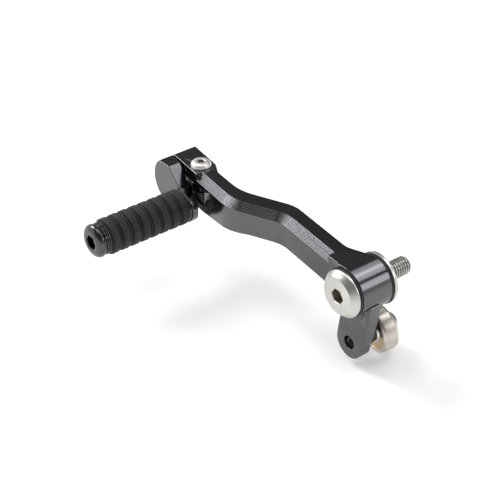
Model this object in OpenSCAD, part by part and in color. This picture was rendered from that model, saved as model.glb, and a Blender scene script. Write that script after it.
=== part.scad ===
// Gear shift lever with a folding toe peg, an M8 pivot bolt and a spherical rod end.
// Millimetres, +Z up. The toe end points to -X, the outer side of the machine is -Y,
// and the origin is on the pivot axis where the rear washer meets the machine.

/* [Pivot] */
// Outer diameter of the pivot hub
hub_d = 22; // [21.6:0.1:22.4]
// Length of the hub along the pivot axis
hub_len = 15; // [14.6:0.1:15.4]
// Diameter of the bolt's plain shoulder
shoulder_d = 12; // [11.8:0.1:12.2]
// Nominal diameter of the bolt's thread
thread_d = 8; // [7.8:0.1:8]
// Length of thread behind the rear washer
thread_len = 14.2; // [13:0.1:16]
// Diameter of the bolt head
bolt_head_d = 21; // [20:0.1:21.4]
// Height of the bolt head
bolt_head_h = 3.6; // [3.2:0.1:4]
// Thickness of each rubber seal
seal_t = 1.3; // [1.2:0.1:1.4]
// Thickness of the rear washer
washer_t = 1.6; // [1.4:0.1:1.8]

/* [Arm] */
// Height of the arm's flat top above the pivot axis
arm_top = 11; // [10.8:0.1:11]
// Depth of the arm's underside below the pivot axis next to the hub
arm_bottom = 3; // [2.6:0.1:3.4]
// Depth of the underside below the pivot axis at the toe end
fork_bottom = 6; // [5.8:0.1:6.2]
// Radius of the arm's bend nearer the hub, seen from above
hub_bend_r = 17; // [14:1:19]
// Radius of the arm's bend nearer the toe, seen from above
toe_bend_r = 24; // [20:1:26]
// Number of steps cut along the outer top edge
step_count = 6; // [5:1:7]
// Width and height of the whole stepped edge
step_band = 3.1; // [2.8:0.1:3.4]
// Radius of the rounded toe end seen from the side
nose_r = 11.2; // [11.1:0.1:11.4]

/* [Linkage tab] */
// Thickness of the tab that hangs from the hub
tab_t = 5.3; // [5:0.1:5.6]
// Distance of the tab's screw hole below the pivot axis
tab_drop = 28; // [27.5:0.1:28.5]
// Distance of the tab's screw hole in front of the pivot axis
tab_lead = 2; // [1.6:0.1:2.4]
// Radius of the tab's round end
tab_r = 7.5; // [7.2:0.1:7.8]

/* [Folding tip] */
// Distance of the fold axis in front of the pivot axis
fold_x = 103.7; // [103.5:0.1:103.9]
// Diameter of the fold screw
fold_screw_d = 5; // [4.8:0.1:5]
// Height of the slot that the tip's tongue turns in
slot_h = 6.2; // [6:0.1:6.4]
// Diameter of the peg's rubber sleeve over its ribs
rubber_d = 16.4; // [16:0.1:16.6]
// Length of the peg's rubber sleeve
rubber_len = 41.4; // [40:0.1:43]
// Number of ribs on the rubber sleeve
rib_count = 8; // [7:1:9]

/* [Rod end] */
// Outer diameter of the rod end's ring
ring_d = 21; // [20:0.1:21.4]
// Width of the rod end's ring
ring_w = 7.4; // [7:0.1:7.6]
// Diameter of the spherical ball
ball_d = 12.7; // [12.4:0.1:12.8]
// Width of the ball
ball_w = 9; // [8.8:0.1:9.2]
// Lean of the rod end's shank from straight up towards the toe
rod_lean = 42; // [40:1:45]
// Twist of the ring about its shank
rod_twist = -8.4; // [-10:0.1:0]
// Distance from the ball's centre to the end of the shank
shank_len = 30; // [29:0.5:31]

/* [Hidden] */
$fn = 96;

anodised = "#232326";
steel = "#c9c7c2";
rubber = "#333436";
champagne = "#cdc6b8";
brass = "#b08d57";
eps = 0.01;

// The stack along the pivot axis, from the machine outwards.
seal_gap = 0.1;
rear_seal_y = -washer_t;
hub_back = rear_seal_y - seal_t;
hub_front = hub_back - hub_len;
head_back = hub_front - seal_t;
hub_r = hub_d / 2;
hub_bore_r = shoulder_d / 2 + 1;
running = 0.03;
bush_len = 5.5;
hex_6 = 6 / sqrt(3);
hex_4 = 4 / sqrt(3);
hex_3 = 3 / sqrt(3);
nut_h = 2.8;
nut_r = 8 / sqrt(3);
nut_pocket_r = 8.2 / sqrt(3);

// The arm's plan: corners of the outer (front) and inner (back) edges, hub to toe.
front_edge = [[-5, hub_front], [-47.3, -13.2], [-71.5, -23.6], [-126, -16.8]];
hub_end = [[0, hub_back], [0, hub_front]];
back_neck_r = 9;
shoulder_bend_r = 4;
front_radii = [0, hub_bend_r, toe_bend_r, 0];
back_radii = [0, back_neck_r, hub_bend_r, toe_bend_r, shoulder_bend_r, shoulder_bend_r, 0];
back_edge = [[-1, hub_back], [-12.5, -7.2], [-50.4, -3.1], [-75.2, -13.5], [-94, -11.6],
    [-100.5, -7.9], [-126, -4.7]];
band_start = -12.5;
band_end = -98.6;
nose_c = [-112.8, 2];
tab_front = hub_front + 3.7;
tab_back = tab_front + tab_t;
tab_hole = [-tab_lead, -tab_drop];

// The folding tip.
fold_y = -13.9;
slot_low = -1;
slot_end = 12;
tongue_low = slot_low + 0.6;
tongue_top = slot_low + slot_h - 0.6;
tongue_r = 5.6;
shim_r = 5;
bush_r = 3.3;
peg_x = -102.3;
peg_z = -4.5;
spigot_r = 3.4;
spigot_len = 2.4;
block_front = -25.7;
block_back = [[-126, -17.2], [-121, -17.9], [-112.4, -19.6], [-103.7, -20.6], [-100.6, -21.1],
    [-98.5, -21.6], [-93, -23.3]];
boss_r = rubber_d / 2;
slope_top = [-112, arm_top];
slope_low = [-100.6, -1];
inner_washer_t = 0.9;
rubber_back = block_front - inner_washer_t;
rubber_front = rubber_back - rubber_len;
end_washer_t = 2.4;
cap_back = rubber_front - end_washer_t;
cap_h = 4;
core_r = 5.5;

// The rod end.
ball_c = [-tab_lead, 2.1, -tab_drop];
race_r = 8.2;
washer_gap = 0.05;
linkage_washer_t = 1;
screw_r = 3;
shank_r = 5;
rod_bore_r = 2.5;
rod_bore_len = 16;

// Corner i of a path moved sideways by d, found where its two moved edges meet.
function unit(v) = v / norm(v);
function side(v) = [-v[1], v[0]];
function cross2(a, b) = a[0] * b[1] - a[1] * b[0];
function meet(p, u, q, v) = p + u * cross2(q - p, v) / cross2(u, v);
function moved_corner(p, i, d) =
    i == 0 ? p[0] + side(unit(p[1] - p[0])) * d :
    i == len(p) - 1 ? p[i] + side(unit(p[i] - p[i - 1])) * d :
    let (u = unit(p[i] - p[i - 1]), v = unit(p[i + 1] - p[i]))
    meet(p[i] + side(u) * d, u, p[i] + side(v) * d, v);

// A corner c between a and b rounded to radius r, as a list of points.
function round_corner(a, c, b, r) =
    let (u = unit(a - c), v = unit(b - c), half = acos(u * v) / 2,
        t = r / tan(half), centre = c + unit(u + v) * r / sin(half),
        turn = sign(cross2(c - a, b - c)), steps = 8, sweep = 180 - 2 * half,
        start = c + u * t - centre)
    [for (k = [0:steps]) let (w = turn * sweep * k / steps)
        centre + [start[0] * cos(w) - start[1] * sin(w), start[0] * sin(w) + start[1] * cos(w)]];

// A path moved sideways by d with its corners rounded; r holds one radius per corner.
function rounded_path(p, r, d) =
    let (q = [for (i = [0:len(p) - 1]) moved_corner(p, i, d)])
    [for (i = [0:len(p) - 1]) each (i == 0 || i == len(p) - 1) ? [q[i]] :
        round_corner(q[i - 1], q[i], q[i + 1],
            max(1, r[i] + d * sign(cross2(p[i] - p[i - 1], p[i + 1] - p[i])) * -1))];

function reversed(p) = [for (i = [len(p) - 1:-1:0]) p[i]];

// Points round a helix of wire, swept as rings of `sides` points.
function coil_point(a, radius, pitch, z0) = [radius * cos(a), radius * sin(a), z0 + pitch * a / 360];
function coil_rings(turns, per_turn, sides, radius, wire_r, pitch, z0) =
    [for (k = [0:turns * per_turn]) let (a = 360 * k / per_turn)
        for (j = [0:sides - 1]) let (w = 360 * j / sides)
            coil_point(a, radius, pitch, z0) + [cos(a) * cos(w), sin(a) * cos(w), sin(w)] * wire_r];

// A shape turned so that its own Z axis points along +Y, starting at y.
module along_y(y) {
    translate([0, y, 0]) rotate([-90, 0, 0]) children();
}

// A ring with its axis along Y from y0 to y1.
module ring_y(y0, y1, outer, inner) {
    along_y(y0) difference() {
        cylinder(r = outer, h = y1 - y0);
        translate([0, 0, -1]) cylinder(r = inner, h = y1 - y0 + 2);
    }
}

// ---- pivot ----

module pivot_bolt() {
    flat_r = 8.2;
    rim_h = 0.9;
    color(steel) difference() {
        union() {
            along_y(head_back) rotate([0, 180, 0]) rotate_extrude()
                polygon([[0, 0], [bolt_head_d / 2, 0], [bolt_head_d / 2, rim_h],
                    [bolt_head_d / 2 - 0.6, rim_h + 1.1], [flat_r + 0.4, bolt_head_h - 0.3],
                    [flat_r, bolt_head_h], [0, bolt_head_h]]);
            along_y(head_back) cylinder(d = shoulder_d, h = -washer_t - head_back);
            along_y(-washer_t) cylinder(r = thread_d / 2 - 0.7, h = washer_t + eps);
            along_y(0) cylinder(d = thread_d, h = thread_len - 0.8);
            along_y(thread_len - 0.8) cylinder(d1 = thread_d, d2 = thread_d - 1.6, h = 0.8);
        }
        along_y(head_back - bolt_head_h - 1) cylinder(r = hex_6, h = 5.5, $fn = 6);
    }
}

module front_seal() {
    color("#151515") ring_y(head_back, hub_front - seal_gap, hub_r - 0.2, shoulder_d / 2);
}

module rear_seal() {
    color("#151515") ring_y(hub_back + seal_gap, rear_seal_y, hub_r - 0.1, shoulder_d / 2);
}

module rear_washer() {
    color(steel) translate([0, 0, -0.2]) ring_y(-washer_t, 0, 11.4, 4.5);
}

module bush(y0) {
    ring_y(y0, y0 + bush_len, hub_bore_r, shoulder_d / 2 + running);
}

module front_bush() {
    color(brass) bush(hub_front);
}

module rear_bush() {
    color(brass) bush(hub_back - bush_len);
}

// ---- arm ----

// The arm seen from above, between its two rounded edges.
module arm_plan() {
    front = rounded_path(front_edge, front_radii, 0);
    back = rounded_path(back_edge, back_radii, 0);
    polygon(concat(front, reversed(back), hub_end));
}

// The arm seen from the side: flat top, deepening underside, round nose.
module arm_side() {
    intersection() {
        union() {
            translate(nose_c) circle(r = nose_r);
            polygon([[0, arm_top], [nose_c[0], arm_top + nose_r], [nose_c[0], -nose_r],
                [-94, -fork_bottom], [-62, -arm_bottom], [0, -arm_bottom]]);
        }
        polygon([[0, arm_top], [-140, arm_top], [-140, -fork_bottom], [-94, -fork_bottom],
            [-62, -arm_bottom], [0, -arm_bottom]]);
    }
}

// What the stepped band takes off the outer top edge.
module step_cuts() {
    rise = step_band / step_count;
    for (i = [1:step_count]) {
        inset = rounded_path(front_edge, front_radii, -i * rise);
        over = i == step_count ? 1 : eps;
        translate([0, 0, arm_top - step_band + (i - 1) * rise])
            linear_extrude(rise + over) intersection() {
                polygon(concat(inset, [[-130, -40], [0, -40]]));
                translate([band_end, -50]) square([band_start - band_end, 60]);
            }
    }
}

// The tab seen from the side, narrower below and round at its end.
module tab_side() {
    polygon([[-8.4, -6], [-7.7, -16.8], [tab_hole[0] - tab_r, tab_hole[1] + 1.5], tab_hole,
        [tab_hole[0] + tab_r - 0.1, tab_hole[1] - 1], [9, -16], [10.9, -4.6], [0, 0]]);
    translate(tab_hole) circle(r = tab_r);
}

// The slot that the tip's tongue turns in, open to the toe and to the outer side.
module fork_slot() {
    translate([-fold_x, fold_y, slot_low]) {
        cylinder(r = tongue_r + 1.2, h = slot_h);
        translate([-30, -20, 0]) cube([30, 40, slot_h]);
        translate([-1, -20, 0]) cube([slot_end + 1, 20, slot_h]);
    }
}

module lever_arm() {
    color(anodised) difference() {
        union() {
            difference() {
                intersection() {
                    translate([0, 0, -20]) linear_extrude(50) arm_plan();
                    translate([0, 10, 0]) rotate([90, 0, 0]) linear_extrude(60) arm_side();
                }
                step_cuts();
            }
            along_y(hub_front) cylinder(r = hub_r, h = hub_len);
            translate([0, tab_back, 0]) rotate([90, 0, 0]) linear_extrude(tab_t) tab_side();
        }
        along_y(hub_front - 1) cylinder(r = hub_bore_r, h = hub_len + 2);
        translate([tab_hole[0], 0, tab_hole[1]]) along_y(tab_front - 1)
            cylinder(r = screw_r, h = tab_t + 2);
        fork_slot();
        translate([-fold_x, fold_y, -20]) {
            cylinder(d = fold_screw_d, h = 20);
            translate([0, 0, 20 - eps]) cylinder(d = fold_screw_d + 0.1, h = 20);
        }
        translate([-fold_x, fold_y, -fork_bottom - 1])
            cylinder(r = nut_pocket_r, h = nut_h + 1, $fn = 6);
    }
}

// ---- folding tip ----

module tip_fold_screw() {
    head_h = 2.3;
    head = [[4.7, 0], [4.7, 0.6], [4.55, 1.2], [4.2, 1.75], [3.6, 2.15], [2.9, head_h]];
    color(steel) translate([-fold_x, fold_y, 0]) difference() {
        union() {
            translate([0, 0, -fork_bottom]) cylinder(d = fold_screw_d, h = arm_top + fork_bottom);
            translate([0, 0, arm_top]) rotate_extrude() polygon(concat([[0, 0]], head, [[0, head_h]]));
        }
        translate([0, 0, arm_top + 0.6]) cylinder(r = hex_3, h = 5, $fn = 6);
    }
}

module tip_fold_bush() {
    color(brass) translate([-fold_x, fold_y, slot_low]) difference() {
        cylinder(r = bush_r, h = slot_h);
        translate([0, 0, -1]) cylinder(d = fold_screw_d + 0.04, h = slot_h + 2);
    }
}

module shim(z) {
    translate([-fold_x, fold_y, z]) difference() {
        cylinder(r = shim_r, h = 0.5);
        translate([0, 0, -1]) cylinder(r = bush_r + 0.02, h = 3);
    }
}

module tip_upper_shim() {
    color(steel) shim(slot_low + slot_h - 0.5);
}

module tip_lower_shim() {
    color(steel) shim(slot_low);
}

module tip_return_spring() {
    turns = 2.5;
    per_turn = 24;
    sides = 8;
    count = turns * per_turn + 1;
    wire_r = 0.4;
    coil_r = 4.1;
    wire = coil_rings(turns, per_turn, sides, coil_r, wire_r, 0.95, tongue_low + 0.5);
    start_cap = [[for (j = [0:sides - 1]) j]];
    end_cap = [[for (j = [sides - 1:-1:0]) (count - 1) * sides + j]];
    skin = [for (k = [0:count - 2]) for (j = [0:sides - 1]) let (here = k * sides, next = here + sides)
        [here + j, next + j, next + (j + 1) % sides, here + (j + 1) % sides]];
    color(steel) translate([-fold_x, fold_y, 0])
        polyhedron(points = wire, faces = concat(start_cap, skin, end_cap));
}

module tip_lock_nut() {
    color(steel) translate([-fold_x, fold_y, -fork_bottom]) difference() {
        cylinder(r = nut_r, h = nut_h, $fn = 6);
        translate([0, 0, -1]) cylinder(d = fold_screw_d, h = 6);
    }
}

// The tip seen from the side: round nose, sloping back and the boss for the peg under a ledge.
module tip_side() {
    intersection() {
        union() {
            translate(nose_c) circle(r = nose_r);
            polygon([[nose_c[0], arm_top], slope_top, slope_low, [peg_x, peg_z],
                [peg_x, peg_z - boss_r], [nose_c[0], -nose_r + nose_c[1]]]);
            translate([peg_x, peg_z]) circle(r = boss_r);
        }
        polygon([[-140, arm_top], slope_top, slope_low, [-80, slope_low[1]], [-80, -20], [-140, -20]]);
    }
}

// The tip's side profile as a solid from y0 inwards to y1.
module tip_slice(y0, y1) {
    translate([0, y1, 0]) rotate([90, 0, 0]) linear_extrude(y1 - y0) tip_side();
}

// The part of the tip beside the fork, whose inner face follows the arm.
module tip_outer() {
    front_line = [[-93, block_front], [-126, block_front]];
    intersection() {
        tip_slice(block_front, -15);
        translate([0, 0, -20]) linear_extrude(40) polygon(concat(block_back, front_line));
    }
}

// The tongue that turns in the fork's slot, and its neck.
module tip_tongue() {
    thick = tongue_top - tongue_low;
    neck = 8;
    translate([-fold_x, fold_y, tongue_low]) cylinder(r = tongue_r, h = thick);
    intersection() {
        translate([-fold_x - tongue_r, fold_y - neck, tongue_low]) cube([tongue_r + 5, neck, thick]);
        tip_slice(block_front, fold_y);
    }
}

module tip_block() {
    spring_well_r = 4.8;
    spring_well = 3.6;
    color(anodised) difference() {
        union() {
            tip_outer();
            tip_tongue();
        }
        translate([-fold_x, fold_y, tongue_low - 1]) {
            cylinder(r = bush_r + 0.04, h = 10);
            cylinder(r = spring_well_r, h = spring_well + 1);
        }
        translate([peg_x, 0, peg_z]) along_y(block_front - 1)
            cylinder(r = spigot_r, h = spigot_len + 1);
    }
}

// ---- peg ----

module peg_core() {
    color(steel) translate([peg_x, 0, peg_z]) difference() {
        union() {
            along_y(block_front) cylinder(r = spigot_r, h = spigot_len);
            along_y(rubber_front) cylinder(r = core_r, h = block_front - rubber_front);
        }
        along_y(rubber_front - 1) cylinder(r = screw_r, h = 15);
    }
}

module peg_inner_washer() {
    color(anodised) translate([peg_x, 0, peg_z]) ring_y(rubber_back, block_front, boss_r - 0.7, core_r);
}

// The rubber sleeve, with wide round-edged ribs.
module peg_rubber() {
    pitch = rubber_len / rib_count;
    rib = pitch * 0.72;
    r = rubber_d / 2;
    groove = 1.1;
    profile = [for (i = [0:rib_count - 1]) let (z = i * pitch + (pitch - rib) / 2)
        each [[r - groove, z], [r - 0.25, z + 0.15], [r, z + 0.8], [r, z + rib - 0.8],
            [r - 0.25, z + rib - 0.15], [r - groove, z + rib]]];
    color(rubber) translate([peg_x, 0, peg_z]) along_y(rubber_front) rotate_extrude()
        polygon(concat([[core_r, 0], [r - groove, 0]], profile,
            [[r - groove, rubber_len], [core_r, rubber_len]]));
}

module peg_end_washer() {
    bore = screw_r + 0.1;
    rings = [[7.2, 0], [7.5, 0.3], [7.2, 0.7], [7.6, 1.1], [7.3, 1.5], [7.7, 1.9], [7.7, end_washer_t]];
    color(anodised) translate([peg_x, 0, peg_z]) along_y(cap_back) rotate_extrude()
        polygon(concat([[bore, 0]], rings, [[bore, end_washer_t]]));
}

module peg_end_cap() {
    dome_r = 3.1;
    dome = [for (a = [0:10:70]) [4.3 + dome_r * cos(a), 0.9 + dome_r * sin(a) * a / 70]];
    color(anodised) translate([peg_x, 0, peg_z]) difference() {
        union() {
            along_y(cap_back) cylinder(r = screw_r, h = 14);
            along_y(cap_back) rotate([180, 0, 0]) rotate_extrude()
                polygon(concat([[0, 0], [7.4, 0]], dome, [[4.1, cap_h], [0, cap_h]]));
        }
        along_y(cap_back - cap_h - 1) cylinder(r = hex_6, h = 4.6, $fn = 6);
    }
}

// ---- rod end ----

module at_ball() {
    translate(ball_c) children();
}

// Places a rod end whose shank points up and whose ring faces along Y.
module leaned() {
    at_ball() rotate([0, -rod_lean, 0]) rotate([0, 0, rod_twist]) children();
}

module rod_end_screw() {
    head_y = ball_w / 2 + washer_gap + linkage_washer_t;
    head_h = 3.3;
    tip_y = tab_front + 2.8 - ball_c[1];
    head = [[5.25, 0], [5.25, 0.4], [4.9, 1.4], [4.2, 2.3], [3.3, 3], [2.6, head_h]];
    color(steel) at_ball() difference() {
        union() {
            along_y(tip_y) cylinder(r = screw_r, h = head_y - tip_y + eps);
            along_y(head_y) rotate_extrude() polygon(concat([[0, 0]], head, [[0, head_h]]));
        }
        along_y(head_y + 1) cylinder(r = hex_4, h = head_h, $fn = 6);
    }
}

module rod_end_washer() {
    near = ball_w / 2 + washer_gap;
    color(steel) at_ball() ring_y(near, near + linkage_washer_t, 5.4, screw_r + 0.1);
}

module rod_end_spacer() {
    near = tab_back - ball_c[1];
    far = -ball_w / 2 - washer_gap;
    color(steel) at_ball() along_y(near) difference() {
        cylinder(r1 = 5.4, r2 = 4.3, h = far - near);
        translate([0, 0, -1]) cylinder(r = screw_r + 0.05, h = far - near + 2);
    }
}

module rod_end_ball() {
    bore_r = screw_r + 0.05;
    color(steel) at_ball() along_y(0) rotate_extrude() intersection() {
        circle(d = ball_d);
        translate([bore_r, -ball_w / 2]) square([ball_d, ball_w]);
    }
}

module rod_end_race() {
    w = 6.4;
    color(brass) leaned() along_y(0) rotate_extrude() difference() {
        translate([0, -w / 2]) square([race_r, w]);
        circle(r = ball_d / 2 + 0.05);
    }
}

module rod_end_housing() {
    r = ring_d / 2;
    crown = 0.9;
    color(champagne) leaned() difference() {
        union() {
            along_y(-ring_w / 2) rotate_extrude()
                polygon([[race_r - 1, 0], [r - crown, 0], [r - 0.35, 0.5], [r, 1.6], [r, ring_w - 1.6],
                    [r - 0.35, ring_w - 0.5], [r - crown, ring_w], [race_r - 1, ring_w]]);
            translate([0, 0, 9]) cylinder(r1 = ring_w / 2, r2 = shank_r, h = 4);
            translate([0, 0, 13]) cylinder(r = shank_r, h = shank_len - 13);
        }
        along_y(-10) cylinder(r = race_r, h = 20);
        translate([0, 0, shank_len - rod_bore_len]) cylinder(r = rod_bore_r, h = rod_bore_len + 1);
        for (s = [-1, 1]) translate([s * 8.5 - 4, -10, shank_len - 7]) cube([8, 20, 8]);
    }
}

pivot_bolt();
front_seal();
rear_seal();
rear_washer();
front_bush();
rear_bush();
lever_arm();
tip_fold_screw();
tip_fold_bush();
tip_upper_shim();
tip_lower_shim();
tip_return_spring();
tip_lock_nut();
tip_block();
peg_core();
peg_inner_washer();
peg_rubber();
peg_end_washer();
peg_end_cap();
rod_end_screw();
rod_end_washer();
rod_end_spacer();
rod_end_ball();
rod_end_race();
rod_end_housing();
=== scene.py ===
"""Looks of the folding gear shift lever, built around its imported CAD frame.

Lengths and places are in millimetres here, and become metres where a mesh or a bump is made.
"""
import math

import bmesh
import bpy
from mathutils import Matrix, Vector


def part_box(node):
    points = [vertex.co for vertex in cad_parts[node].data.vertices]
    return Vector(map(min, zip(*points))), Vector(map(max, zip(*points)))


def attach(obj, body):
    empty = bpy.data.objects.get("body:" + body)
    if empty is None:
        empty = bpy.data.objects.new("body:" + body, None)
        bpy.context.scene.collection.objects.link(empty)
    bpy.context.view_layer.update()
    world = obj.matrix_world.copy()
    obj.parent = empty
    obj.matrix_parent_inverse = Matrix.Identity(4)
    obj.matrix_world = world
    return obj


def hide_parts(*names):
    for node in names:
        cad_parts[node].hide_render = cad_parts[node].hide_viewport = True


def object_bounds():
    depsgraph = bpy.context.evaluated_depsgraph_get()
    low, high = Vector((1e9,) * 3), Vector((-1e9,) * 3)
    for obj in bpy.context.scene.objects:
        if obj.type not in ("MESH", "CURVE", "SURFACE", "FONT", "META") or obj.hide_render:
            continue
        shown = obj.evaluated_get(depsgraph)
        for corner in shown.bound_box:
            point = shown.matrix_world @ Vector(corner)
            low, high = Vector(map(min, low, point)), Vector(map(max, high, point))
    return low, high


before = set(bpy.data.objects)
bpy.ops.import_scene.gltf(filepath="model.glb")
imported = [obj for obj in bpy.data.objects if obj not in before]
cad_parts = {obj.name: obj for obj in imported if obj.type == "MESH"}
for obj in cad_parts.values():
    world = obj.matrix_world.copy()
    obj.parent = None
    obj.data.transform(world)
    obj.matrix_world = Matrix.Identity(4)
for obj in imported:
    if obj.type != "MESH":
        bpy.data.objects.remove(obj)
cad_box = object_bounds()

MM = 0.001
ROUND = 96  # points round a turned piece
WELD = 1e-4  # points closer than this become one


def low(node):
    """A node's lowest corner."""
    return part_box(node)[0] / MM


def high(node):
    """A node's highest corner."""
    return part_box(node)[1] / MM


def middle(node):
    """The centre of a node's box."""
    return (low(node) + high(node)) / 2


# ---- material parts ----

PATCH_SCALE = 90  # tone patches on metal, per metre
MARK_SCALE = 5200  # turning marks, per metre of radius
MARK_DEPTH = 0.006
GRIP_PATCH_SCALE = 420


def new_material(name):
    """A material with nodes, its tree and its shader."""
    mat = bpy.data.materials.new(name)
    mat.use_nodes = True
    tree = mat.node_tree
    return mat, tree, tree.nodes["Principled BSDF"]


def place(tree):
    """Object coordinates, which are the CAD frame in metres."""
    return tree.nodes.new("ShaderNodeTexCoord").outputs["Object"]


def noise(tree, vector, scale, detail=3.0, roughness=0.55):
    """A noise value over the surface; scale is in features per metre."""
    n = tree.nodes.new("ShaderNodeTexNoise")
    n.inputs["Scale"].default_value = scale
    n.inputs["Detail"].default_value = detail
    n.inputs["Roughness"].default_value = roughness
    tree.links.new(vector, n.inputs["Vector"])
    return n.outputs["Fac"]


def spread(tree, value, low_value, high_value, start=0.35, end=0.65):
    """The value from start..end stretched to low_value..high_value."""
    n = tree.nodes.new("ShaderNodeMapRange")
    n.inputs["From Min"].default_value = start
    n.inputs["From Max"].default_value = end
    n.inputs["To Min"].default_value = low_value
    n.inputs["To Max"].default_value = high_value
    tree.links.new(value, n.inputs["Value"])
    return n.outputs["Result"]


def two_tone(tree, value, dark, light, start=0.35, end=0.65):
    """A colour between dark and light, chosen by the value."""
    n = tree.nodes.new("ShaderNodeValToRGB")
    n.color_ramp.elements[0].position = start
    n.color_ramp.elements[1].position = end
    n.color_ramp.elements[0].color = (*dark, 1)
    n.color_ramp.elements[1].color = (*light, 1)
    tree.links.new(value, n.inputs["Fac"])
    return n.outputs["Color"]


def mixed(tree, factor, under, over):
    """A colour that goes from under to over with the factor; each is a socket or a plain colour."""
    n = tree.nodes.new("ShaderNodeMix")
    n.data_type = "RGBA"
    tree.links.new(factor, n.inputs["Factor"])
    for key, colour in (("A", under), ("B", over)):
        if isinstance(colour, bpy.types.NodeSocket):
            tree.links.new(colour, n.inputs[key])
        else:
            n.inputs[key].default_value = (*colour, 1)
    return n.outputs["Result"]


def bump(tree, height, depth, strength=0.5, under=None):
    """A normal with a relief of a depth in millimetres, on top of another normal."""
    n = tree.nodes.new("ShaderNodeBump")
    n.inputs["Strength"].default_value = strength
    n.inputs["Distance"].default_value = depth * MM
    tree.links.new(height, n.inputs["Height"])
    if under:
        tree.links.new(under, n.inputs["Normal"])
    return n.outputs["Normal"]


def vector_math(tree, operation, value, other=None):
    """The outputs of an operation on a vector and, where it takes two, a plain vector."""
    n = tree.nodes.new("ShaderNodeVectorMath")
    n.operation = operation
    tree.links.new(value, n.inputs[0])
    if other is not None:
        n.inputs[1].default_value = other
    return n.outputs


def radius_from(tree, axis_point):
    """How far a point lies from the line along Y through axis_point, in metres."""
    shift = vector_math(tree, "SUBTRACT", place(tree), Vector(axis_point) * MM)[0]
    flat = vector_math(tree, "MULTIPLY", shift, (1, 0, 1))[0]
    return vector_math(tree, "LENGTH", flat)["Value"]


def worn_edges(tree, tight=0.515, wide=0.56):
    """0 on flat ground and 1 on sharp outer edges."""
    geometry = tree.nodes.new("ShaderNodeNewGeometry")
    return spread(tree, geometry.outputs["Pointiness"], 0, 1, tight, wide)


def metal(name, dark, light, rough, grain=2200, depth=0.004, axis=None, brushed=0.0,
          wear=None, shaded_hollows=None):
    """A metal with a mottled tone and a fine grain.
    axis is a point of a line along Y that turning marks run round, and brushed stretches the
    gloss along them. wear is the colour of sharp edges. The last argument is a point of a line
    along Y, two radii and the colour of a painted shade that fades out between them."""
    mat, tree, shader = new_material(name)
    where = place(tree)
    fine = noise(tree, where, grain, 4, 0.6)
    colour = two_tone(tree, noise(tree, where, PATCH_SCALE, 4), dark, light)
    if wear:
        colour = mixed(tree, worn_edges(tree), colour, wear)
    # Painted shade: a darker colour in the thread's grooves that fades out towards the crest.
    if shaded_hollows:
        centre, deep, crest, groove_shade = shaded_hollows
        unshaded = spread(tree, radius_from(tree, centre), 0, 1, deep * MM, crest * MM)
        colour = mixed(tree, unshaded, groove_shade, colour)
    tree.links.new(colour, shader.inputs["Base Color"])
    shader.inputs["Metallic"].default_value = 1.0
    tree.links.new(spread(tree, fine, rough[0], rough[1]), shader.inputs["Roughness"])
    normal = bump(tree, fine, depth)
    if axis is not None:
        marks = tree.nodes.new("ShaderNodeTexNoise")
        marks.noise_dimensions = "1D"
        marks.inputs["Scale"].default_value = MARK_SCALE
        marks.inputs["Detail"].default_value = 3
        tree.links.new(radius_from(tree, axis), marks.inputs["W"])
        normal = bump(tree, marks.outputs["Fac"], MARK_DEPTH, 0.5, normal)
        if brushed:
            shader.inputs["Anisotropic"].default_value = brushed
            tangent = tree.nodes.new("ShaderNodeTangent")
            tangent.direction_type = "RADIAL"
            tangent.axis = "Y"
            tree.links.new(tangent.outputs["Tangent"], shader.inputs["Tangent"])
    tree.links.new(normal, shader.inputs["Normal"])
    return mat


def rubber(name, dark, light, rough, grain, depth):
    """A moulded rubber: mottled, matt and slightly pebbled."""
    mat, tree, shader = new_material(name)
    where = place(tree)
    fine = noise(tree, where, grain, 5, 0.65)
    patches = noise(tree, where, GRIP_PATCH_SCALE, 5, 0.6)
    tree.links.new(two_tone(tree, patches, dark, light), shader.inputs["Base Color"])
    tree.links.new(spread(tree, fine, rough[0], rough[1]), shader.inputs["Roughness"])
    tree.links.new(bump(tree, fine, depth, 0.6), shader.inputs["Normal"])
    shader.inputs["Specular IOR Level"].default_value = 0.4
    return mat


def grey(value, tint=(1, 1, 1)):
    """A grey of a brightness, tinted."""
    return tuple(value * t for t in tint)


# ---- materials ----

WARM = (1.0, 0.975, 0.93)
COOL = (0.97, 0.98, 1.03)
BLUISH = (0.93, 0.95, 1.12)
PIVOT_AXIS = (0, 0, 0)
peg_mid = middle("peg_core")
ball_mid = middle("rod_end_ball")

ANODISED = metal("satin black anodised aluminium", grey(0.098, COOL), grey(0.112, COOL),
                 (0.15, 0.19), depth=0.0006, wear=grey(0.15, COOL))
GLOSS_BLACK = metal("gloss black anodised aluminium", grey(0.085, COOL), grey(0.1, COOL),
                    (0.1, 0.15), depth=0.001, axis=peg_mid)
STAINLESS = metal("turned stainless steel", grey(0.56, WARM), grey(0.62, WARM),
                  (0.28, 0.34), depth=0.001, axis=PIVOT_AXIS, brushed=0.6)
# Painted shade darkens the grooves of the pivot bolt's thread.
THREAD_STEEL = metal("rolled thread stainless steel with painted groove shade", grey(0.5, WARM), grey(0.64, WARM),
                     (0.22, 0.34), depth=0.001, shaded_hollows=(PIVOT_AXIS, 3.3, 3.85, grey(0.07, WARM)))
SCREW_STEEL = metal("bright stainless screw", grey(0.78, WARM), grey(0.88, WARM),
                    (0.4, 0.5), depth=0.001)
SPRING_STEEL = metal("drawn spring wire", grey(0.3), grey(0.4), (0.25, 0.35))
BRONZE = metal("sintered bronze", (0.42, 0.27, 0.12), (0.52, 0.35, 0.17), (0.35, 0.5), depth=0.01)
RACE_BRASS = metal("pressed brass race", (0.5, 0.36, 0.19), (0.62, 0.47, 0.27),
                   (0.22, 0.32), axis=ball_mid)
CHROME = metal("polished ball steel", grey(0.62), grey(0.68), (0.05, 0.09), depth=0.0005)
ZINC = metal("pearl zinc plated steel", (0.56, 0.52, 0.465), (0.68, 0.645, 0.59),
             (0.3, 0.38), grain=700, depth=0.0015)
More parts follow.
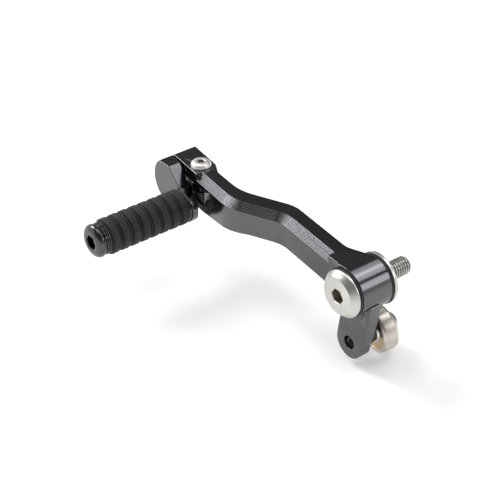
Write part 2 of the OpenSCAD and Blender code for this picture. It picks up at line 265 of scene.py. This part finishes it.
# Painted shade: a darker metal for the inside of the hex sockets, where shade falls.
SOCKET_SHADE = metal("socket with painted shade", (0.34, 0.29, 0.24), (0.5, 0.44, 0.38),
               (0.4, 0.55), grain=1500, depth=0.004)
GRIP = rubber("matt grip rubber", grey(0.02, BLUISH), grey(0.033, BLUISH),
              (0.62, 0.82), 2600, 0.03)
SEAL = rubber("smooth seal rubber", grey(0.008), grey(0.013), (0.4, 0.55), 1800, 0.006)


# ---- mesh building ----

FILLET_SHARE = 0.49  # most of an outline's edge that a fillet at one end takes

THREAD_DEPTH = 0.6  # in pitches
LEAD_SLOPE = 0.8
# One pitch of a thread, from crest to crest: shares of the pitch and of the depth
THREAD_SHAPE = [(0.0, 0), (0.0625, 0), (0.125, 0), (0.3, 0.5), (0.47, 1), (0.56, 1),
                (0.65, 1), (0.82, 0.5)]

BREAK = 1.0  # widest broken edge
CAD_WELD = 2e-3
CAD_SHORTEST = 1e-3  # shorter edges of a CAD mesh are dropped
FLAT = math.radians(0.4)  # faces that meet at less are one
EDGE = math.radians(30)  # faces that meet at more have an edge to break


def make_piece(name, bm, body, mat, replaced, sharp=32, inner=None):
    """Turns a bmesh into a piece that rides on a body and stands for CAD nodes.
    Shading breaks at edges sharper than sharp degrees. inner is a second material and a test of
    a face's centre that says where it goes."""
    bmesh.ops.remove_doubles(bm, verts=bm.verts, dist=WELD)
    bmesh.ops.recalc_face_normals(bm, faces=bm.faces)
    if inner:
        for face in bm.faces:
            if inner[1](face.calc_center_median()):
                face.material_index = 1
    bmesh.ops.scale(bm, vec=(MM, MM, MM), verts=bm.verts)
    mesh = bpy.data.meshes.new(name)
    bm.to_mesh(mesh)
    bm.free()
    mesh.shade_smooth()
    mesh.set_sharp_from_angle(angle=math.radians(sharp))
    obj = bpy.data.objects.new(name, mesh)
    bpy.context.scene.collection.objects.link(obj)
    mesh.materials.append(mat)
    if inner:
        mesh.materials.append(inner[0])
    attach(obj, body)
    if replaced:
        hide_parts(*replaced)
    return obj


def soften(stations, steps=4):
    """Rounds the corners of an (along, radius, fillet) outline; returns (along, radius) pairs."""
    out = []
    for i, (along, radius, fillet) in enumerate(stations):
        if fillet <= 0 or i in (0, len(stations) - 1):
            out.append((along, radius))
            continue
        here = Vector((along, radius))
        before = Vector(stations[i - 1][:2]) - here
        after = Vector(stations[i + 1][:2]) - here
        reach = min(fillet, before.length * FILLET_SHARE, after.length * FILLET_SHARE)
        before.normalize()
        after.normalize()
        for k in range(steps + 1):
            t = k / steps
            out.append(tuple(here + before * reach * (1 - t) ** 2 + after * reach * t ** 2))
    return out


def hexagon(across):
    """The radius of a hexagon of a width across its flats, as a function of the angle."""
    def radius(angle):
        return across / 2 / math.cos((angle % (math.pi / 3)) - math.pi / 6)
    return radius


def hex_socket(front, inward, across, mouth, drill, depths):
    """Rows of a hexagon socket, from the tip of its drilled floor out to its mouth.
    inward is 1 or -1 along the axis, across and mouth are widths across the flats, and drill is
    the floor's radius. depths are the floor's tip and rim, and the walls' end, start and mouth."""
    radii = (0, drill, hexagon(across), hexagon(across), hexagon(mouth))
    return [(front + inward * depth, radius) for depth, radius in zip(depths, radii)]


def turned(rows, axis=(0, 0), closed=False, around=ROUND):
    """A body of revolution about a line along Y through axis, an (x, z) pair.
    rows are (y, radius), where radius may be a function of the angle."""
    bm = bmesh.new()
    rings = []
    for y, r in rows:
        if not callable(r) and r < 1e-6:
            rings.append([bm.verts.new((axis[0], y, axis[1]))] * around)
            continue
        ring_verts = []
        for k in range(around):
            angle = 2 * math.pi * k / around
            radius = r(angle) if callable(r) else r
            ring_verts.append(bm.verts.new((axis[0] + radius * math.cos(angle), y,
                                            axis[1] + radius * math.sin(angle))))
        rings.append(ring_verts)
    for one, two in zip(rings, rings[1:] + rings[:1] if closed else rings[1:]):
        for k in range(around):
            n = (k + 1) % around
            corners = []
            for v in (one[k], one[n], two[n], two[k]):
                if v not in corners:
                    corners.append(v)
            if len(corners) > 2:
                bm.faces.new(corners)
    return bm


def thread_depth(share):
    """How deep a thread is at a share of its pitch, as a share of its depth."""
    knots = THREAD_SHAPE + [(1.0, 0)]
    for (t0, d0), (t1, d1) in zip(knots, knots[1:]):
        if t0 <= share <= t1:
            return d0 + (d1 - d0) * (share - t0) / (t1 - t0)


def threaded(major, pitch, start, end, chamfer, lead_in=0.0):
    """A thread's surface about the Y axis, chamfered at its end and, where asked, at its start."""
    def radius(y, shift):
        r = major - THREAD_DEPTH * pitch * thread_depth(((y - shift) / pitch) % 1.0)
        r = min(r, major - max(0, y - (end - chamfer)))
        if lead_in:
            r = min(r, major - max(0, (start + lead_in) - y) * LEAD_SLOPE)
        return r

    bm = bmesh.new()
    columns = []
    count = int((end - start) / pitch) + 2
    for k in range(ROUND + 1):
        shift = start + pitch * k / ROUND
        angle = 2 * math.pi * k / ROUND
        c, s = math.cos(angle), math.sin(angle)
        column = []
        for turn in range(-2, count):
            for t, _ in THREAD_SHAPE:
                y = min(max(shift + (turn + t) * pitch, start), end)
                r = radius(y, shift)
                column.append(bm.verts.new((r * c, y, r * s)))
        columns.append(column)
    for left, right in zip(columns, columns[1:]):
        for i in range(len(left) - 1):
            bm.faces.new((left[i], right[i], right[i + 1], left[i + 1]))
    return bm


def joined(*parts):
    """Several bmeshes in one."""
    whole = bmesh.new()
    for part in parts:
        mesh = bpy.data.meshes.new("part")
        part.to_mesh(mesh)
        part.free()
        whole.from_mesh(mesh)
        bpy.data.meshes.remove(mesh)
    return whole


def ring(name, node, body, mat, inner, fillet, steps=3):
    """A plain ring along Y with rounded corners, as large as its CAD node."""
    lo, hi, mid = low(node), high(node), middle(node)
    outer = (hi.z - lo.z) / 2
    rows = soften([(mid.y, inner, 0), (lo.y, inner, fillet / 2), (lo.y, outer, fillet),
                   (hi.y, outer, fillet), (hi.y, inner, fillet / 2), (mid.y, inner, 0)], steps)
    make_piece(name, turned(rows, (mid.x, mid.z)), body, mat, (node,))


def upright(bm, centre):
    """Stands a piece made about the Y axis at the origin along Z at a centre, its +Y end up."""
    bmesh.ops.transform(bm, verts=bm.verts, matrix=Matrix.Translation(centre)
                        @ Matrix.Rotation(math.radians(90), 4, "X"))
    return bm


def refined(node, name, body, mat, width, cuts=()):
    """A copy of a CAD node's mesh with its edges broken; width(edge middle, convex) says by how
    much. cuts are (point, normal) planes that split large flat faces, so that none runs round a
    hole, and connect_verts_concave splits the faces that still have inward corners."""
    bm = bmesh.new()
    bm.from_mesh(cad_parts[node].data)
    bmesh.ops.scale(bm, vec=(1 / MM,) * 3, verts=bm.verts)
    bmesh.ops.remove_doubles(bm, verts=bm.verts, dist=CAD_WELD)
    bmesh.ops.dissolve_degenerate(bm, edges=bm.edges, dist=CAD_SHORTEST)
    for point, normal in cuts:
        split = bmesh.ops.bisect_plane(bm, geom=bm.verts[:] + bm.edges[:] + bm.faces[:],
                                       dist=WELD, plane_co=point, plane_no=normal)
        for e in split["geom_cut"]:
            if isinstance(e, bmesh.types.BMEdge):
                e.seam = True
    bmesh.ops.dissolve_limit(bm, angle_limit=FLAT, verts=bm.verts, edges=bm.edges,
                             delimit={"SEAM"})
    bmesh.ops.connect_verts_concave(bm, faces=bm.faces)
    share = bm.edges.layers.float.new("bevel_weight_edge")
    for e in bm.edges:
        if len(e.link_faces) == 2 and e.calc_face_angle(0) > EDGE:
            mid = (e.verts[0].co + e.verts[1].co) / 2
            e[share] = width(mid, e.calc_face_angle_signed(0) > 0) / BREAK
    obj = make_piece(name, bm, body, mat, (node,), sharp=180)
    mod = obj.modifiers.new("broken edges", "BEVEL")
    mod.limit_method = "WEIGHT"
    mod.width = BREAK * MM
    mod.segments = 2
    mod.use_clamp_overlap = False
    mod.face_strength_mode = "FSTR_ALL"
    mod = obj.modifiers.new("flat flats", "WEIGHTED_NORMAL")
    mod.use_face_influence = True
    mod.weight = 50


# ---- pivot ----

HEAD_FRONT = low("pivot_bolt").y
HEAD_BACK = low("front_seal").y
HEAD_R = high("pivot_bolt").x
SHOULDER_R = 6.0
SHOULDER_END = -1.6
NECK_R = 3.3
THREAD_END = high("pivot_bolt").y
M8_R, M8_PITCH = 4.0, 1.25


# Faces inside the pivot bolt's hex socket, which get the painted socket shade.
def in_pivot_socket(c):
    return HEAD_FRONT + 0.2 < c.y < HEAD_FRONT + 5 and math.hypot(c.x, c.z) < 3.6


head = turned(
    hex_socket(HEAD_FRONT, 1, 6.0, 6.5, 2.4, (4.9, 3.6, 3.4, 0.3, 0))
    + soften([(HEAD_FRONT, 5.5, 0), (HEAD_FRONT, 8.25, 0.35), (HEAD_BACK - 1.75, 9.75, 0.35),
              (HEAD_BACK - 1.0, HEAD_R, 0.5), (HEAD_BACK, HEAD_R, 0.25), (HEAD_BACK, 8.0, 0)])
    + [(HEAD_BACK, SHOULDER_R)])
shank = turned(
    [(HEAD_BACK, SHOULDER_R)]
    + soften([(HEAD_BACK + 0.5, SHOULDER_R, 0), (SHOULDER_END, SHOULDER_R, 0.2),
              (SHOULDER_END, NECK_R, 0.2), (0.0, NECK_R, 0)])
    + [(0.0, 3.25)])
make_piece("pivot_bolt_head", joined(head, shank), "pivot", STAINLESS,
           ("pivot_bolt",), inner=(SOCKET_SHADE, in_pivot_socket))

thread = threaded(M8_R, M8_PITCH, 0.0, THREAD_END, 0.8, 0.6)
thread_end = turned([(THREAD_END, 3.2), (THREAD_END, 0)])
make_piece("pivot_bolt_thread", joined(thread, thread_end), "pivot", THREAD_STEEL,
           None)

ring("front_seal_ring", "front_seal", "pivot", SEAL, SHOULDER_R, 0.35)
ring("rear_seal_ring", "rear_seal", "pivot", SEAL, SHOULDER_R, 0.35)
ring("rear_washer_turned", "rear_washer", "pivot", STAINLESS, 4.5, 0.3)

# ---- arm, tip block and rod end ----

fold = middle("tip_fold_screw")
ARM_TOP = 11.0
STEPS_TOE, STEPS_HUB = -98.5, -12.6  # where the steps begin and end along X
STEPS_LOW = ARM_TOP - 3.2
STEPS_INNER = -9.5  # the top step's inner end along Y
ARM_MIDDLE = -5  # nothing of the steps lies inboard of this
SLOT_END = fold.x + 12
SHOULDER_X = -98.0  # where the inboard top edge is broken widest
SHOULDER_REACH = 8.5

STEP_BREAK = 0.3
FORK_BREAK = 0.35
INBOARD_BREAK, SHOULDER_EXTRA = 0.4, 0.5
FINE_BREAK = 0.22
PLAIN_BREAK = 0.25


def arm_edges(mid, convex):
    """Broken edges of the arm: wide ones on the steps, on the fork and along the inboard top
    edge, none under the screw or at the slot's end, fine ones elsewhere."""
    on_top = mid.z > ARM_TOP - 0.1
    near_steps = STEPS_TOE - 0.2 < mid.x < STEPS_HUB + 0.2 and mid.y < ARM_MIDDLE
    if mid.z > STEPS_LOW and near_steps and not (on_top and mid.y > STEPS_INNER):
        return STEP_BREAK if convex and STEPS_TOE < mid.x < STEPS_HUB else 0.0
    under_screw = on_top and math.hypot(mid.x - fold.x, mid.y - fold.y) < 4
    at_slot_end = abs(mid.x - SLOT_END) < 0.4 and mid.y < -12
    if not convex or under_screw or at_slot_end:
        return 0.0
    if on_top and mid.x < -98 and mid.y < -15:
        return FORK_BREAK
    if on_top and mid.y > -13.2 and -108 < mid.x < -60:
        nearness = max(0.0, 1 - abs(mid.x - SHOULDER_X) / SHOULDER_REACH)
        return INBOARD_BREAK + SHOULDER_EXTRA * nearness
    return FINE_BREAK


def plain_edges(mid, convex):
    """The same break on every outer edge."""
    return PLAIN_BREAK if convex else 0.0


refined("lever_arm", "machined_lever_arm", "lever", ANODISED, arm_edges,
        [(fold, (1, 0, 0)), ((-86, 0, 0), (1, 0, 0)), ((0, 0, 0), (1, 0, 0)),
         (ball_mid, (0, 0, 1))])
refined("tip_block", "machined_tip_block", "tip", ANODISED, plain_edges,
        [(fold, (1, 0, 0)), (peg_mid, (0, 0, 1))])
refined("rod_end_housing", "forged_rod_end", "rod_end", ZINC, plain_edges)

# ---- fold screw and nut ----

SCREW_FOOT = low("tip_fold_screw").z - ARM_TOP  # the screw's low end, from under its head
BUTTON_HEIGHT = 2.3
M5_R, M5_PITCH = 2.5, 0.8
M5_LENGTH = 5.5
NUT_HEIGHT = high("tip_lock_nut").z - low("tip_lock_nut").z
NUT_CHAMFER = 0.35
NUT_CORNER_R, NUT_FACE_R, NUT_MOUTH_R = 4.42, 3.95, 2.9


# Faces inside the button screw's hex socket, which get the painted socket shade.
def in_button_socket(c):
    return ARM_TOP < c.z < ARM_TOP + 2.0 and math.hypot(c.x - fold.x, c.y - fold.y) < 1.75


def nut_corner(angle):
    """The radius of a nut of 8 mm across its flats, with its corners turned off."""
    return min(hexagon(8.0)(angle), NUT_CORNER_R)


button = turned(
    hex_socket(BUTTON_HEIGHT, -1, 3.0, 3.4, 1.3, (1.65, 1.5, 1.45, 0.2, 0))
    + soften([(BUTTON_HEIGHT, 2.1, 0), (BUTTON_HEIGHT, 2.95, 0.3), (2.1, 3.65, 0.4),
              (1.5, 4.35, 0.6), (0.5, 4.7, 0.4), (0.0, 4.6, 0.1), (0.0, 3.0, 0)])
    + [(0.0, M5_R), (SCREW_FOOT + M5_LENGTH + 0.1, M5_R), (SCREW_FOOT + M5_LENGTH, 2.1)])
foot = threaded(M5_R, M5_PITCH, -(SCREW_FOOT + M5_LENGTH), -SCREW_FOOT, 0.5)
bmesh.ops.transform(foot, matrix=Matrix.Rotation(math.pi, 4, "X"), verts=foot.verts)
foot_end = turned([(SCREW_FOOT, 1.95), (SCREW_FOOT, 0)])
make_piece("tip_button_screw",
           upright(joined(button, foot, foot_end), (fold.x, fold.y, ARM_TOP)), "lever",
           SCREW_STEEL, ("tip_fold_screw",), inner=(SOCKET_SHADE, in_button_socket))

nut = turned([(NUT_CHAMFER, M5_R), (0.0, NUT_MOUTH_R), (0.0, NUT_FACE_R),
              (NUT_CHAMFER, nut_corner), (NUT_HEIGHT - NUT_CHAMFER, nut_corner),
              (NUT_HEIGHT, NUT_FACE_R), (NUT_HEIGHT, NUT_MOUTH_R),
              (NUT_HEIGHT - NUT_CHAMFER, M5_R)], closed=True)
make_piece("tip_nyloc_nut", upright(nut, (fold.x, fold.y, low("tip_lock_nut").z)), "lever",
           SCREW_STEEL, ("tip_lock_nut",))

# ---- peg ----

PEG = (peg_mid.x, peg_mid.z)
PEG_BORE = 5.5
RUB_LOW, RUB_HIGH = low("peg_rubber").y, high("peg_rubber").y
RUB_R = (high("peg_rubber").z - low("peg_rubber").z) / 2
RUB_END_R = RUB_R - 0.9
RIBS = 8
# Half of a rib, and of the bead in each groove: out from its middle, and down from RUB_R
RIB = [(1.86, 1.2), (1.82, 0.7), (1.7, 0.32), (1.5, 0.1), (1.2, 0.0), (0.6, 0.0)]
BEAD = [(0.5, 1.25), (0.4, 0.8), (0.25, 0.56), (0.0, 0.48)]

WASHER_FRONT, WASHER_BACK = low("peg_end_washer").y, high("peg_end_washer").y
WASHER_BORE, WASHER_CORE = 3.3, 6.75
RING_COUNT, RING_PITCH, RING_WIDTH = 3, 0.78, 0.5
RING_R, RING_TAPER = 7.5, 0.13  # the ring next to the sleeve, and how much less each next one is

CAP_FRONT, CAP_BACK = low("peg_end_cap").y, high("peg_end_cap").y
CAP_DOME = 2.5  # length of the dome along the peg
CAP_BACK_R = 6.6


def mirrored(centre, half):
    """Rows of a rib or bead that is the same on both sides of its middle."""
    return ([(centre - out, RUB_R - drop) for out, drop in half]
            + [(centre + out, RUB_R - drop) for out, drop in half[::-1] if out > 0])


def sleeve_rows():
    """The sleeve's outline: a rounded rib for each pitch, with a bead in each groove."""
    pitch = (RUB_HIGH - RUB_LOW) / RIBS
    rows = [(RUB_LOW, PEG_BORE), (RUB_LOW, RUB_END_R)]
    for i in range(RIBS):
        centre = RUB_LOW + (i + 0.5) * pitch
        rows += mirrored(centre, RIB)
        if i < RIBS - 1:
            rows += mirrored(centre + pitch / 2, BEAD)
    return rows + [(RUB_HIGH, RUB_END_R), (RUB_HIGH, PEG_BORE)]


def washer_rows():
    """The end washer's outline: a core with three narrow rings."""
    rows = [(WASHER_BACK, WASHER_BORE, 0), (WASHER_BACK, WASHER_CORE, 0)]
    for i in range(RING_COUNT):
        y = WASHER_BACK - 0.12 - i * RING_PITCH
        edge = RING_R - RING_TAPER * i
        rows += [(y, WASHER_CORE, 0.05), (y, edge, 0.16), (y - RING_WIDTH, edge, 0.16),
                 (y - RING_WIDTH, WASHER_CORE, 0.05)]
    return rows + [(WASHER_FRONT, WASHER_CORE, 0), (WASHER_FRONT, WASHER_BORE, 0)]


def dome_rows():
    """The cap's dome and the rolled edge behind it, each a quarter of an ellipse."""
    rows = []
    for degrees in range(0, 91, 6):
        a = math.radians(degrees)
        rows.append((CAP_FRONT + 0.02 + CAP_DOME * (1 - math.cos(a)), 4.45 + 3.2 * math.sin(a)))
    for degrees in range(15, 91, 15):
        a = math.radians(degrees)
        rows.append((CAP_FRONT + CAP_DOME + 1.45 * math.sin(a), CAP_BACK_R + 1.05 * math.cos(a)))
    return rows


ring("peg_inner_collar", "peg_inner_washer", "tip", ANODISED, PEG_BORE, 0.3)
make_piece("ribbed_grip_sleeve", turned(sleeve_rows(), PEG, closed=True, around=128), "tip",
           GRIP, ("peg_rubber",), sharp=60)
make_piece("peg_ringed_washer", turned(soften(washer_rows()), PEG, closed=True), "tip",
           GLOSS_BLACK, ("peg_end_washer",), sharp=50)
cap = turned(
    hex_socket(CAP_FRONT, 1, 6.0, 6.6, 2.4, (4.4, 3.6, 3.5, 0.35, 0.05))
    + [(CAP_FRONT, 3.95)] + dome_rows()
    + [(WASHER_FRONT, CAP_BACK_R), (WASHER_FRONT, 3.0), (CAP_BACK, 3.0), (CAP_BACK, 0)], PEG)
make_piece("peg_cap_screw", cap, "tip", GLOSS_BLACK, ("peg_end_cap",), sharp=40)

# ---- linkage screw ----

BALL = (ball_mid.x, ball_mid.z)
M6_R = 3.0
M6_START, M6_TOP = low("rod_end_screw").y, high("rod_end_screw").y
M6_SEAT = M6_TOP - 3.3  # under the head
# The head's outline: up from its seat, and its radius
M6_HEAD = [(0.0, 5.1), (0.12, 5.25), (0.5, 5.22), (1.1, 5.03), (1.7, 4.7), (2.3, 4.2),
           (2.8, 3.6), (3.15, 3.0), (3.3, 2.6)]

linkage_screw = turned(
    [(M6_START, 0), (M6_START, 2.4), (M6_START + 0.12, 2.75), (M6_START + 0.4, M6_R),
     (M6_SEAT, M6_R)]
    + [(M6_SEAT + up, radius) for up, radius in M6_HEAD]
    + hex_socket(M6_TOP, -1, 4.0, 4.4, 1.8, (2.6, 2.3, 2.1, 0.2, 0))[::-1], BALL)
make_piece("linkage_button_screw", linkage_screw, "lever", CHROME,
           ("rod_end_screw",))
ring("linkage_washer", "rod_end_washer", "lever", SCREW_STEEL, 3.1, 0.2)

# ---- nodes kept as they are ----

KEPT = {"front_bush": BRONZE, "rear_bush": BRONZE, "tip_fold_bush": BRONZE,
        "tip_upper_shim": SCREW_STEEL, "tip_lower_shim": SCREW_STEEL,
        "tip_return_spring": SPRING_STEEL, "peg_core": SCREW_STEEL,
        "rod_end_spacer": ANODISED, "rod_end_ball": CHROME, "rod_end_race": RACE_BRASS}
for node, mat in KEPT.items():
    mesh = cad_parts[node].data
    mesh.materials.clear()
    mesh.materials.append(mat)

# ---- floor ----

FLOOR_HALF = 6.0  # metres
FLOOR_GAP = 0.0002  # metres
FLOOR_GLOW = 0.3

floor_z = cad_box[0].z - FLOOR_GAP
floor_mesh = bpy.data.meshes.new("floor")
floor_mesh.from_pydata([(x * FLOOR_HALF, y * FLOOR_HALF, floor_z)
                        for x, y in ((-1, -1), (1, -1), (1, 1), (-1, 1))], [], [(0, 1, 2, 3)])
floor = bpy.data.objects.new("floor", floor_mesh)
bpy.context.scene.collection.objects.link(floor)
floor_mat, tree, shader = new_material("pale studio floor")
tree.links.new(two_tone(tree, noise(tree, place(tree), 4, 2), grey(0.86), grey(0.88)),
               shader.inputs["Base Color"])
shader.inputs["Roughness"].default_value = 0.9
shader.inputs["Specular IOR Level"].default_value = 0.1
shader.inputs["Emission Color"].default_value = (1, 1, 1, 1)
shader.inputs["Emission Strength"].default_value = FLOOR_GLOW
floor_mesh.materials.append(floor_mat)

# ---- light ----

HORIZON, OVERHEAD = 0.8, 0.17  # strength of the sky low down and high up
LEFT_WALL = 1.2  # strength of the sky at its brightest
LEFT_WALL_WAY = (-0.863, -0.498, 0.087)

world = bpy.data.worlds.new("studio")
bpy.context.scene.world = world
world.use_nodes = True
tree = world.node_tree
way = tree.nodes.new("ShaderNodeTexCoord").outputs["Generated"]
split = tree.nodes.new("ShaderNodeSeparateXYZ")
tree.links.new(way, split.inputs["Vector"])
to_left = vector_math(tree, "DOT_PRODUCT", way, LEFT_WALL_WAY)["Value"]
brighter = tree.nodes.new("ShaderNodeMath")
brighter.operation = "MAXIMUM"
tree.links.new(spread(tree, split.outputs["Z"], HORIZON, OVERHEAD, 0.05, 0.34),
               brighter.inputs[0])
tree.links.new(spread(tree, to_left, 0.0, LEFT_WALL, 0.6, 0.85), brighter.inputs[1])
tree.links.new(brighter.outputs[0], tree.nodes["Background"].inputs["Strength"])
tree.nodes["Background"].inputs["Color"].default_value = (1, 1, 1, 1)

# Rectangular lights that face the origin. Each has its azimuth, counted from +X towards +Y, its
# elevation, its distance and size in metres, and its radiance.
SOFTBOXES = [
    ("left key", 196, 40, 1.2, (0.5, 0.5), 10.0),
    ("overhead fill", 200, 84, 1.3, (0.9, 0.9), 2.0),
    ("rear top panel", 99, 56, 1.2, (0.66, 0.25), 1.8),
    ("toe panel", 66.8, 58.8, 0.304, (0.14, 0.14), 2.4),
    ("right rear panel", 34, 25, 1.2, (0.5, 0.46), 2.8),
]
for name, azimuth, elevation, distance, size, radiance in SOFTBOXES:
    data = bpy.data.lights.new(name, "AREA")
    data.shape = "RECTANGLE"
    data.size, data.size_y = size
    data.energy = radiance * math.pi * size[0] * size[1]
    light = bpy.data.objects.new(name, data)
    bpy.context.scene.collection.objects.link(light)
    a, e = math.radians(azimuth), math.radians(elevation)
    away = Vector((math.cos(a) * math.cos(e), math.sin(a) * math.cos(e), math.sin(e)))
    light.location = away * distance
    light.rotation_mode = "QUATERNION"
    light.rotation_quaternion = away.to_track_quat("Z", "Y")

# ---- camera ----

AZIMUTH, ELEVATION, ROLL = 53.0, 33.23, -1.26
DISTANCE = 0.6  # metres
AIM = Vector((-0.03331, -0.0407, 0.01277))  # metres
LENS = 107.0
SENSOR = 36
NEAR = 0.01  # metres

a, e, roll = (math.radians(v) for v in (AZIMUTH, ELEVATION, ROLL))
back = Vector((math.sin(a) * math.cos(e), -math.cos(a) * math.cos(e), math.sin(e)))
level = Vector((math.cos(a), math.sin(a), 0))
rise = back.cross(level)
right = level * math.cos(roll) + rise * math.sin(roll)
up = rise * math.cos(roll) - level * math.sin(roll)
camera_data = bpy.data.cameras.new("camera")
camera_data.lens = LENS
camera_data.sensor_width = SENSOR
camera_data.clip_start = NEAR
camera = bpy.data.objects.new("camera", camera_data)
bpy.context.scene.collection.objects.link(camera)
camera.rotation_mode = "QUATERNION"
camera.rotation_quaternion = Matrix((right, up, back)).transposed().to_quaternion()
camera.location = AIM + back * DISTANCE
bpy.context.scene.camera = camera
bpy.context.scene.view_settings.view_transform = "Standard"
